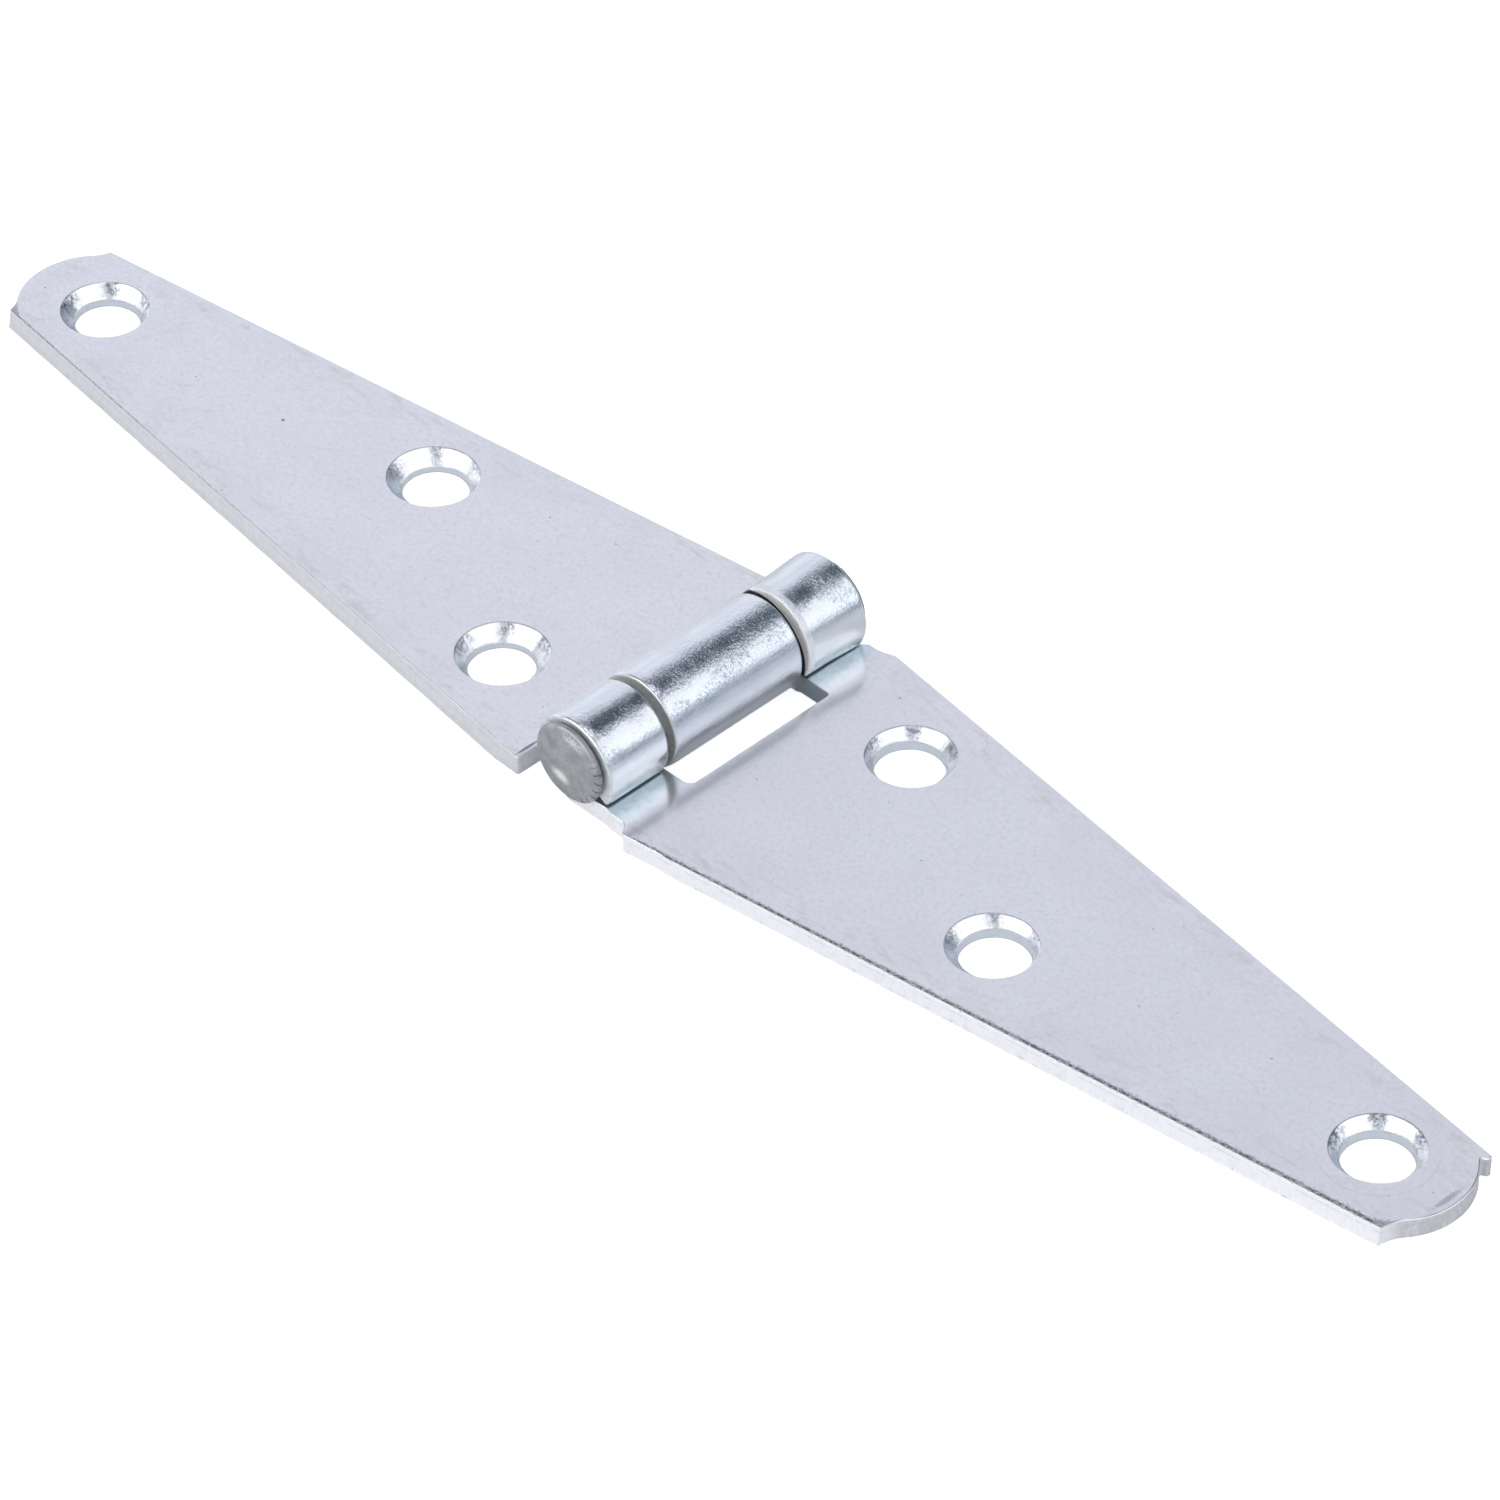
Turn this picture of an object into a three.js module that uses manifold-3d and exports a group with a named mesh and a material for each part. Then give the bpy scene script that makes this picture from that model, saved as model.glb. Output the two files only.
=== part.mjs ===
// Light strap hinge: a pair of tapered strap leaves on a fixed, peened pin.
//
// Three pieces: a leaf rolled into the two outer knuckles, a leaf rolled into the one middle knuckle,
// and the pin through all three, with a formed head at each end.
//
// Units are millimetres. The origin is on the mounting plane (the backs of both leaves, z = 0),
// under the middle of the pin. +X runs out along the leaf with two knuckles, +Y runs along the pin,
// +Z is the face the barrel stands on, which is also the countersunk face.
//
// Both leaves are drawn along +X. A leaf's side is 1 if it lies there, or -1 if it is mirrored to -X.

import * as THREE from 'three';
import { mergeVertices } from 'three/addons/utils/BufferGeometryUtils.js';
import Module from 'manifold-3d';

const { degToRad, lerp } = THREE.MathUtils;

// ---------------------------------------------------------------- dimensions
// Every *_X is a distance from the pin axis, and every *_HALF is half a size along the pin.

const LEAF_LENGTH = 76.2;        // pin axis to the tip of either leaf
const SHEET = 1.75;              // sheet thickness of both leaves

// Barrel
const BARREL_R = 4.08;           // outside radius of the rolled knuckles
const EYE_R = BARREL_R - SHEET;  // inside radius of the rolled knuckles
const AXIS_Z = BARREL_R;         // pin axis height: the barrel is flush with the backs
const BARREL_HALF = 13.5;
const MIDDLE_HALF = 6.7;         // middle knuckle
const KNUCKLE_GAP = 0.8;         // side play between neighbouring knuckles
const OUTER_START = MIDDLE_HALF + KNUCKLE_GAP;  // inner end of either outer knuckle
const CURL_END = -33;            // degrees from level where the roll stops, just above its own sheet
const ROOT_LAP = 1.5;            // flat sheet on each knuckle, lapping into the leaf's plate

// Two-knuckle leaf: necks beside the barrel, widening to the shoulders
const NECK_ROOT_X = 3.45;        // where the edge leaves the barrel's end, clear of the pin head
const NECK_START_X = 4.0;        // start of the neck's straight edge
const NECK_MINUS_Y = { endX: 5.45, half: 13.65 };
const NECK_PLUS_Y = { endX: 5.0, half: 14.0 };
const SHOULDER_X = 6.35;
const SHOULDER_HALF = 14.45;
const SHOULDER_RISE = 0.38;      // share of the widening reached midway from neck to shoulder

// Two-knuckle leaf: clearance slot for the middle knuckle
const SLOT_X = 6.0;              // its edge furthest from the pin
const SLOT_MINUS_Y = -7.25;      // its two ends along the pin
const SLOT_PLUS_Y = 7.65;
const SLOT_MINUS_R = 0.7;        // corner radius at the -Y end
const SLOT_PLUS_R = SLOT_MINUS_R / 2;
const SLOT_JOG_X = [0.62 * BARREL_R, 0.72 * BARREL_R];  // slanted step from knuckle end to slot end

// One-knuckle leaf: straight base edge
const BASE_X = 5.4;
const BASE_HALF = 14.3;

// Ogee tip of both leaves: a convex nose between two concave hollows
const NOSE_R = 6.25;
const NOSE_HALF_ANGLE = 41.4;    // half its sweep, degrees
const HOLLOW_R = 2.6;
const HOLLOW_ANGLE = 31.3;       // sweep of each hollow, degrees

// Countersunk screw holes: centre, and radii of the mouth and the bore
const CONE_HALF_ANGLE = 41;      // degrees
const CUT_BELOW = 1;             // how far a cutter passes the back
const CUT_ABOVE = 0.6;           // how far a cutter passes the countersunk face
const TWO_KNUCKLE_HOLES = [
  { x: 15.4, y: 6.9, mouth: 3.6, bore: 2.75 },
  { x: 34.3, y: -4.0, mouth: 3.58, bore: 2.75 },
  { x: 68.5, y: 0.1, mouth: 3.62, bore: 2.75 },
];
const ONE_KNUCKLE_HOLES = [
  { x: 15.0, y: -6.7, mouth: 3.78, bore: 2.65 },
  { x: 34.4, y: 4.2, mouth: 3.76, bore: 2.65 },
  { x: 68.6, y: 0, mouth: 3.64, bore: 2.65 },
];

// Pin
const PIN_R = EYE_R - 0.06;      // shank, with running clearance in the eyes
const HEAD_R = 3.42;
const HEAD_FACE_R = 3.08;        // flat of the head inside its rounded rim
const HEAD_RIM = HEAD_R - HEAD_FACE_R;
const HEAD_HEIGHT = 0.75;        // how far the head stands out of the knuckle
const HEAD_GAP = 0.04;           // play under the head
const HEAD_CHAMFER = 0.08;       // on the head's underside
const DIMPLE_R = 0.55;           // punch dimple in the middle of the head
const DIMPLE_DEPTH = 0.1;

// Smoothness: largest angle between points on an arc, in degrees, and segments per turn
const ROLL_STEP = 5;
const HOLLOW_STEP = 8;
const NOSE_STEP = 6;
const CORNER_STEP = 18;          // slot corners and head rims
const HOLE_SEGMENTS = 64;
const PIN_SEGMENTS = 64;

// ---------------------------------------------------------------- solids and meshes

const wasm = await Module();
wasm.setup();

// A closed three.js geometry as a solid.
function toSolid(geometry) {
  // Vertices only merge where all their attributes match, so all but position go.
  for (const name of Object.keys(geometry.attributes)) {
    if (name !== 'position') geometry.deleteAttribute(name);
  }
  const merged = mergeVertices(geometry, 1e-5);
  const index = merged.index.array;
  // Triangles that collapse in the merge, as on a lathe's axis, are left out.
  const kept = [];
  for (let i = 0; i < index.length; i += 3) {
    const [a, b, c] = index.slice(i, i + 3);
    if (a !== b && b !== c && c !== a) kept.push(a, b, c);
  }
  return new wasm.Manifold(new wasm.Mesh({
    numProp: 3,
    vertProperties: new Float32Array(merged.attributes.position.array),
    triVerts: new Uint32Array(kept),
  }));
}

function toGeometry(solid) {
  const { vertProperties, triVerts } = solid.getMesh();
  const geometry = new THREE.BufferGeometry();
  geometry.setAttribute('position', new THREE.BufferAttribute(new Float32Array(vertProperties), 3));
  geometry.setIndex(new THREE.BufferAttribute(new Uint32Array(triVerts), 1));
  geometry.computeVertexNormals();
  return geometry;
}

// ---------------------------------------------------------------- outlines

const point = (x, y) => new THREE.Vector2(x, y);

const scaled = (points, scaleX, scaleY) => points.map((p) => point(scaleX * p.x, scaleY * p.y));

// Points on an arc between two angles in degrees, both ends included.
function arc(centreX, centreY, radius, from, to, step) {
  const count = Math.ceil(Math.abs(to - from) / step);
  const points = [];
  for (let i = 0; i <= count; i++) {
    const angle = degToRad(from + ((to - from) * i) / count);
    points.push(point(centreX + radius * Math.cos(angle), centreY + radius * Math.sin(angle)));
  }
  return points;
}

// The ogee tip, from the +Y cusp round to the -Y cusp.
function tip() {
  const noseX = LEAF_LENGTH - NOSE_R;
  // The arcs are tangent, so the hollow's centre is both radii away from the nose's.
  const reach = NOSE_R + HOLLOW_R;
  const hollowX = noseX + reach * Math.cos(degToRad(NOSE_HALF_ANGLE));
  const hollowY = reach * Math.sin(degToRad(NOSE_HALF_ANGLE));
  const joint = NOSE_HALF_ANGLE + 180;
  const hollow = arc(hollowX, hollowY, HOLLOW_R, joint - HOLLOW_ANGLE, joint, HOLLOW_STEP);
  const nose = arc(noseX, 0, NOSE_R, NOSE_HALF_ANGLE, 0, NOSE_STEP);
  const upper = [...hollow, ...nose.slice(1)];
  const lower = scaled(upper.slice(0, -1).reverse(), 1, -1);
  return [...upper, ...lower];
}

// ---------------------------------------------------------------- parts of a leaf

function extrude(points, side, depth) {
  const shape = new THREE.Shape(scaled(points, side, 1));
  return new THREE.ExtrudeGeometry(shape, { depth, bevelEnabled: false });
}

// A rolled knuckle from yStart to yEnd. The sheet passes under the pin, up the side away from the
// leaf, over the top and down to its own face.
function knuckle(yStart, yEnd, side) {
  const stop = CURL_END - 360;
  const profile = [
    ...arc(0, AXIS_Z, BARREL_R, -90, stop, ROLL_STEP),
    ...arc(0, AXIS_Z, EYE_R, stop, -90, ROLL_STEP),
    point(ROOT_LAP, SHEET),
    point(ROOT_LAP, 0),
  ];
  const geometry = extrude(profile, side, yEnd - yStart);
  geometry.rotateX(Math.PI / 2);
  geometry.translate(0, yEnd, 0);
  return toSolid(geometry);
}

// Cutter for one countersunk screw hole.
function holeCutter({ x, y, mouth, bore }, side) {
  const slope = Math.tan(degToRad(CONE_HALF_ANGLE));
  const coneStart = SHEET - (mouth - bore) / slope;
  const top = SHEET + CUT_ABOVE;
  const profile = [
    point(0, -CUT_BELOW),
    point(bore, -CUT_BELOW),
    point(bore, coneStart),
    point(mouth + CUT_ABOVE * slope, top),
    point(0, top),
  ];
  const geometry = new THREE.LatheGeometry(profile, HOLE_SEGMENTS);
  geometry.rotateX(Math.PI / 2);
  geometry.translate(side * x, y, 0);
  return toSolid(geometry);
}

// A flat plate with its knuckles joined on and its holes cut.
function leaf({ outline, knuckles, holes, side }) {
  let solid = toSolid(extrude(outline, side, SHEET));
  for (const [yStart, yEnd] of knuckles) solid = solid.add(knuckle(yStart, yEnd, side));
  for (const hole of holes) solid = solid.subtract(holeCutter(hole, side));
  return solid;
}

// ---------------------------------------------------------------- the three pieces

// The +Y edge of a neck and its shoulder, from the pin axis outwards.
function neckEdge({ endX, half }) {
  return [
    point(0, BARREL_HALF),
    point(NECK_ROOT_X, BARREL_HALF),
    point(NECK_START_X, half),
    point(endX, half),
    point((endX + SHOULDER_X) / 2, lerp(half, SHOULDER_HALF, SHOULDER_RISE)),
    point(SHOULDER_X, SHOULDER_HALF),
  ];
}

// The slot's edge, from its -Y end to its +Y end.
function slotEdge() {
  const [jogStart, jogEnd] = SLOT_JOG_X;
  const corner = (y, radius, from) => (
    arc(SLOT_X - radius, y, radius, from, from + 90, CORNER_STEP)
  );
  return [
    point(0, -OUTER_START),
    point(jogStart, -OUTER_START),
    point(jogEnd, SLOT_MINUS_Y),
    ...corner(SLOT_MINUS_Y + SLOT_MINUS_R, SLOT_MINUS_R, -90),
    ...corner(SLOT_PLUS_Y - SLOT_PLUS_R, SLOT_PLUS_R, 0),
    point(jogEnd, SLOT_PLUS_Y),
    point(jogStart, OUTER_START),
    point(0, OUTER_START),
  ];
}

function twoKnuckleLeaf() {
  return leaf({
    outline: [
      ...neckEdge(NECK_PLUS_Y),
      ...tip(),
      ...scaled(neckEdge(NECK_MINUS_Y), 1, -1).reverse(),
      ...slotEdge(),
    ],
    knuckles: [[OUTER_START, BARREL_HALF], [-BARREL_HALF, -OUTER_START]],
    holes: TWO_KNUCKLE_HOLES,
    side: 1,
  });
}

function oneKnuckleLeaf() {
  const baseEdge = [
    point(0, MIDDLE_HALF),
    point(BASE_X, MIDDLE_HALF),
    point(BASE_X, BASE_HALF),
  ];
  return leaf({
    outline: [...baseEdge, ...tip(), ...scaled(baseEdge, 1, -1).reverse()],
    knuckles: [[-MIDDLE_HALF, MIDDLE_HALF]],
    holes: ONE_KNUCKLE_HOLES,
    side: -1,
  });
}

function hingePin() {
  const seat = BARREL_HALF + HEAD_GAP;
  const face = BARREL_HALF + HEAD_HEIGHT;
  // The +Y end, from the shank out and round to the axis.
  const end = [
    point(PIN_R, seat),
    point(HEAD_R - HEAD_CHAMFER, seat),
    point(HEAD_R, seat + HEAD_CHAMFER),
    ...arc(HEAD_FACE_R, face - HEAD_RIM, HEAD_RIM, 0, 90, CORNER_STEP),
    point(DIMPLE_R, face),
    point(0.55 * DIMPLE_R, face - 0.8 * DIMPLE_DEPTH),  // gives the dimple a shallow floor
    point(0, face - DIMPLE_DEPTH),
  ];
  const profile = [...scaled(end, 1, -1).reverse(), ...end];
  const geometry = new THREE.LatheGeometry(profile, PIN_SEGMENTS);
  geometry.translate(0, 0, AXIS_Z);
  return toSolid(geometry);
}

// ---------------------------------------------------------------- assembly

const metal = (color, roughness) => (
  new THREE.MeshStandardMaterial({ color, metalness: 1, roughness })
);

const LEAF_ROUGHNESS = 0.28;
const PIN_ROUGHNESS = 0.45;

function named(name, solid, material) {
  const mesh = new THREE.Mesh(toGeometry(solid), material);
  mesh.name = name;
  return mesh;
}

const hinge = new THREE.Group();
hinge.add(
  named('two_knuckle_leaf', twoKnuckleLeaf(), metal(0xccd0d9, LEAF_ROUGHNESS)),
  named('one_knuckle_leaf', oneKnuckleLeaf(), metal(0xcdd0d8, LEAF_ROUGHNESS)),
  named('hinge_pin', hingePin(), metal(0xa4a3a6, PIN_ROUGHNESS)),
);

export default hinge;
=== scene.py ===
# A strap hinge lying open on the floor. The pin runs along Y above the origin. The leaf with two
# knuckles reaches towards +X and the leaf with one knuckle towards -X. The backs of both leaves
# are at z = 0 and +Z is up. Sizes are in millimetres unless a comment says otherwise.

import math
from types import SimpleNamespace

import bpy
import numpy as np
from mathutils import Matrix, Vector
from mathutils.geometry import delaunay_2d_cdt


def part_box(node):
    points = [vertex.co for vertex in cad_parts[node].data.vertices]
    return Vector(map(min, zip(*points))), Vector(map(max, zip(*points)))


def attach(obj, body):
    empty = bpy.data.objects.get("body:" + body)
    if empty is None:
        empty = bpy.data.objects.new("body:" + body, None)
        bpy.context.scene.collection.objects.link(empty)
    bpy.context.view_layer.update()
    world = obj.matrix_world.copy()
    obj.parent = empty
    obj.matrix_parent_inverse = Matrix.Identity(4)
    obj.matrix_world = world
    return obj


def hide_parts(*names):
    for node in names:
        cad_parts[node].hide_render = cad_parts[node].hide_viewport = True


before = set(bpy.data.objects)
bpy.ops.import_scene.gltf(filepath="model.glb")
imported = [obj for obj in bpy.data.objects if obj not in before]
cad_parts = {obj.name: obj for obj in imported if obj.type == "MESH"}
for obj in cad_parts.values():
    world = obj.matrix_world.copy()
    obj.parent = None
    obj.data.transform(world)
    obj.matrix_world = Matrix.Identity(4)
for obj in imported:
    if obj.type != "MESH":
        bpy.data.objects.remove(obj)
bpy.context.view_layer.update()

MM = 0.001                      # metres
DEGREES = 180 / math.pi         # in one radian

# ------------------------------------------------------------------ sizes

_, leaf_far_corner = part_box("two_knuckle_leaf")
LEAF = leaf_far_corner.x / MM   # pin axis to tip
ROLL_R = leaf_far_corner.z / 2 / MM  # outside radius of the roll, and height of the pin axis
SHEET = 1.75                    # thickness
HALF = 13.5                     # half length of the stacked knuckles
MIDDLE = 6.7                    # half length of the middle knuckle
INNER = 7.5                     # inner ends of the outer knuckles, from the middle
ROLLED = math.radians(303.0) * ROLL_R  # length of sheet on the outside of the roll
ROW = math.radians(3.0) * ROLL_R       # spacing of mesh rows round the roll
NOSE_R = 6.25                   # round nose of the tip

# Screw holes: x, y, mouth radius, bore radius, x and y offset of the bore from the countersink
HOLES_TWO = [
    (15.4, 6.9, 3.6, 2.75, -0.06, -0.06),
    (34.3, -4.0, 3.58, 2.75, 0.17, 0.17),
    (68.5, 0.1, 3.62, 2.75, 0.03, 0.03),
]
HOLES_ONE = [
    (15.0, -6.7, 3.78, 2.65, 0.06, -0.06),
    (34.4, 4.2, 3.76, 2.65, -0.13, 0.13),
    (68.6, 0.0, 3.64, 2.65, -0.12, 0.12),
]
CONE_SLOPE = math.tan(math.radians(41))  # radius gained per height
HOLE_SEGMENTS = 96

# The pin's head at -Y sits slightly off the axis
HEAD_ASIDE = 0.06               # towards -X
HEAD_RAISED = 0.27


# ------------------------------------------------------------------ small helpers

def unit(vectors):
    vectors = np.asarray(vectors, float)
    length = np.linalg.norm(vectors, axis=-1, keepdims=True)
    return vectors / np.maximum(length, 1e-12)


def smooth(start, end, x):
    t = np.clip((np.asarray(x, float) - start) / (end - start), 0, 1)
    return t * t * (3 - 2 * t)


def wave(x, seed, pitch):
    """Smooth, repeatable wobble of about -1..1 along x, with features near pitch long."""
    x = np.asarray(x, float) / pitch
    total = np.zeros_like(x)
    for k, (rate, size) in enumerate(((1.0, 0.55), (1.93, 0.3), (3.71, 0.2))):
        drift = 0.8 * np.sin(1.31 * rate * x + seed)
        total += size * np.sin(2 * math.pi * rate * x + seed * 1.7 + 2.1 * k + drift)
    return total


def twice_area(a, b, c):
    """Twice the signed area of a triangle in plan, positive when counterclockwise."""
    return (b[0] - a[0]) * (c[1] - a[1]) - (b[1] - a[1]) * (c[0] - a[0])


def polar(angle):
    return np.array([math.cos(angle), math.sin(angle)])


# ------------------------------------------------------------------ outlines of the flat blanks

def tip_points():
    """The ogee tip from its -Y cusp to its +Y cusp: a hollow, the round nose, a hollow."""
    nose_half, hollow_sweep = math.radians(41.4), math.radians(31.3)
    hollow_r = 2.6
    nose_x = LEAF - NOSE_R
    join = np.array([nose_x + NOSE_R * math.cos(nose_half), NOSE_R * math.sin(nose_half)])
    hollow_centre = join + hollow_r * polar(nose_half)
    upper = []
    for i in range(9):
        angle = nose_half + math.pi - hollow_sweep + hollow_sweep * i / 8
        upper.append(hollow_centre + hollow_r * polar(angle))
    for i in range(1, 15):
        upper.append(np.array([nose_x, 0.0]) + NOSE_R * polar(nose_half * (1 - i / 14)))
    upper = np.array(upper)
    return np.vstack([upper[:-1] * (1, -1), upper[::-1]])


def outline(corners):
    """A closed counterclockwise outline with rounded corners.

    Corners are (x, y, corner radius, spacing of points along the side after it).
    """
    points = np.array([corner[:2] for corner in corners], float)
    count = len(points)
    arcs = []
    for i in range(count):
        radius = corners[i][2]
        if radius <= 0:
            arcs.append([points[i]])
            continue
        back, ahead = points[i - 1] - points[i], points[(i + 1) % count] - points[i]
        back_length, ahead_length = np.linalg.norm(back), np.linalg.norm(ahead)
        back, ahead = back / back_length, ahead / ahead_length
        angle = math.acos(max(-1, min(1, float(back @ ahead))))
        reach = min(radius / math.tan(angle / 2), 0.45 * back_length, 0.45 * ahead_length)
        radius = reach * math.tan(angle / 2)
        centre = points[i] + unit(back + ahead) * radius / math.sin(angle / 2)
        first = points[i] + back * reach - centre
        last = points[i] + ahead * reach - centre
        sweep = math.atan2(first[0] * last[1] - first[1] * last[0], float(first @ last))
        steps = max(3, math.ceil(abs(sweep) / math.radians(11)))
        arc = []
        for j in range(steps + 1):
            c, s = polar(sweep * j / steps)
            arc.append(centre + np.array([first[0] * c - first[1] * s, first[0] * s + first[1] * c]))
        arcs.append(arc)
    result = []
    for i in range(count):
        result += arcs[i]
        start, end = arcs[i][-1], arcs[(i + 1) % count][0]
        steps = max(1, math.ceil(np.linalg.norm(end - start) / corners[i][3] - 1e-6))
        result += [start + (end - start) * j / steps for j in range(1, steps)]
    return np.array(result)


def strip_corners(y_in, y_out):
    """The end of a strip that gets rolled, entered at (0, y_in) and left at (0, y_out)."""
    return [
        (0.0, y_in, 0, ROW), (-ROLLED, y_in, 0.22, 0.35),
        (-ROLLED, y_out, 0.22, ROW), (0.0, y_out, 0, 0.35),
    ]


def two_knuckle_blank():
    # Corner tables hold x, y, corner radius, spacing along the next side
    near_root = [
        (0.0, -HALF, 0, 0.35), (3.45, -HALF, 0, 0.3), (4.0, -13.65, 0, 0.35),
        (5.45, -13.65, 0.3, 0.25), (6.3, -14.47, 0.34, 0.5),
    ]
    tip = [(x, y, 0, 0.4) for x, y in tip_points() if y < 4.45]
    tip[0] = (*tip[0][:2], 0.12, 0.4)
    # a small burr at the +Y cusp stands past the hollow
    burr = [(74.36, 4.60, 0.12, 0.3), (74.82, 4.80, 0.24, 0.3), (74.86, 5.27, 0.34, 1.0)]
    far_root = [
        (6.35, 14.47, 0.45, 0.3), (5.68, 14.2, 0.3, 0.3), (5.0, 14.0, 0.3, 0.35),
        (4.0, 14.0, 0, 0.3), (3.45, HALF, 0, 0.35),
    ]
    slot = [
        (2.53, INNER, 0, 0.2), (2.94, 7.65, 0, 0.4), (6.0, 7.65, 0.3, 0.5),
        (6.0, -7.25, 0.75, 0.4), (2.94, -7.25, 0, 0.2), (2.53, -INNER, 0, 0.35),
    ]
    points = outline(
        near_root + tip + burr + far_root + strip_corners(HALF, INNER)
        + slot + strip_corners(-INNER, -HALF)[:3]
    )
    # the -Y side stands a little wide of the straight taper, with a jog near the root
    x, y = points[:, 0], points[:, 1]
    widening = 0.21 * smooth(5.9, 6.4, x) + 0.11 * smooth(10.0, 10.35, x)
    widening = widening + 0.05 * smooth(14, 40, x) + 0.03 * smooth(50, 72, x)
    points[:, 1] -= widening * smooth(3.8, 5.4, -y) * (y < 0)
    return points


def one_knuckle_blank():
    root_x, root_half = 5.4, 14.3
    tip = [(x, y, 0, 0.4) for x, y in tip_points()]
    tip[0] = (*tip[0][:2], 0.14, 0.4)
    tip[-1] = (*tip[-1][:2], 0.16, 1.2)
    near_root = [
        (0.0, -MIDDLE, 0, 0.35), (root_x, -MIDDLE, 0.35, 0.4), (root_x, -root_half, 0.22, 1.2),
    ]
    far_root = [(root_x, root_half, 0.22, 0.4), (root_x, MIDDLE, 0.35, 0.35)]
    return outline(near_root + tip + far_root + strip_corners(MIDDLE, -MIDDLE)[:3])


# ------------------------------------------------------------------ rolling a blank round the pin
# Blank points are (distance along, y, height above the back); distances below 0 get rolled.

def crown(points, knuckles):
    """How far the outside of the roll draws in near knuckle ends, and its slope along y."""
    along, y, height = points[..., 0], points[..., 1], points[..., 2]
    draw, slope = np.zeros_like(y), np.zeros_like(y)
    for low, high in knuckles:
        on_knuckle = (y > low - 0.01) & (y < high + 0.01)
        low_end = (0.06, 1.5) if low > 5 else (0.085, 0.95)
        # end, direction into the knuckle, depth, width
        for end, sign, depth, width in ((low, 1, *low_end), (high, -1, 0.025, 0.40)):
            t = np.clip(1 - sign * (y - end) / width, 0, 1)
            draw += np.where(on_knuckle, depth * t * t, 0)
            slope += np.where(on_knuckle, -sign * 2 * depth * t / width, 0)
    # the knuckle at +Y swells a little towards its outer end
    swell, swell_start, swell_length = 0.17, 9.5, 3.9
    t = np.clip((y - swell_start) / swell_length, 0, 1)
    draw -= swell * t * t * (3 - 2 * t)
    slope -= swell * 6 * t * (1 - t) / swell_length
    outside = smooth(0.2, 2.6, -along) * np.clip(1 - height / SHEET, 0, 1)
    return draw * outside, slope * outside


def bend(points, extra_radius, knuckles):
    """Blank points carried to the part."""
    along, y, height = points[..., 0], points[..., 1], points[..., 2]
    angle = np.maximum(-along, 0) / ROLL_R
    radius = (ROLL_R + extra_radius * smooth(0.5, 5.0, -along)) - height
    radius = radius - crown(points, knuckles)[0]
    x = np.where(along >= 0, along, -radius * np.sin(angle))
    z = np.where(along >= 0, height, ROLL_R - radius * np.cos(angle))
    return np.stack([x, y, z], -1)


def bend_normal(points, knuckles):
    """The direction of the sheet's face: up on its front, down on its back, carried round."""
    along, height = points[..., 0], points[..., 2]
    up = np.where(height > SHEET / 2, 1.0, -1.0)
    angle = np.maximum(-along, 0) / ROLL_R
    lean = np.where(up < 0, crown(points, knuckles)[1], 0.0)
    return unit(np.stack([np.sin(angle) * up, lean, np.cos(angle) * up], -1))


# ------------------------------------------------------------------ meshing a blank

class Sheet:
    """Vertices and faces of a leaf on its flat blank."""

    def __init__(self):
        self.points = []
        self.wall = []     # 0 on the sheet's faces, 1 on a sheared edge
        self.hole = []     # 0 off a screw hole, 1 on its cone, 2 on its land
        self.turn = []     # direction from the middle of a screw hole, and its x / 10
        self.faces = []

    def add(self, point, wall=0.0, hole=0.0, turn=(0.0, 0.0, 0.0)):
        self.points.append(tuple(float(v) for v in point))
        self.wall.append(float(wall))
        self.hole.append(float(hole))
        self.turn.append(tuple(float(v) for v in turn))
        return len(self.points) - 1

    def close_grid(self, grid, flip=False):
        """Faces over a grid of vertices whose rows run round a closed loop."""
        rows, columns = grid.shape
        for i in range(rows):
            here, there = i, (i + 1) % rows
            if flip:
                here, there = there, here
            for j in range(columns - 1):
                self.faces.append(
                    [grid[here, j], grid[there, j], grid[there, j + 1], grid[here, j + 1]]
                )


def inside(polygon, points):
    x, y = points[:, 0], points[:, 1]
    result = np.zeros(len(points), bool)
    for (x0, y0), (x1, y1) in zip(polygon, np.roll(polygon, -1, 0)):
        if y0 != y1:
            result ^= ((y0 > y) != (y1 > y)) & (x < (x1 - x0) * (y - y0) / (y1 - y0) + x0)
    return result


def edge_distance(polygon, points):
    nearest = np.full(len(points), 1e9)
    for start, end in zip(polygon, np.roll(polygon, -1, 0)):
        side = end - start
        square = float(side @ side)
        if square < 1e-12:
            continue
        t = np.clip(((points - start) @ side) / square, 0, 1)
        gap = np.linalg.norm(points - (start + t[:, None] * side), axis=1)
        nearest = np.minimum(nearest, gap)
    return nearest


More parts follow.
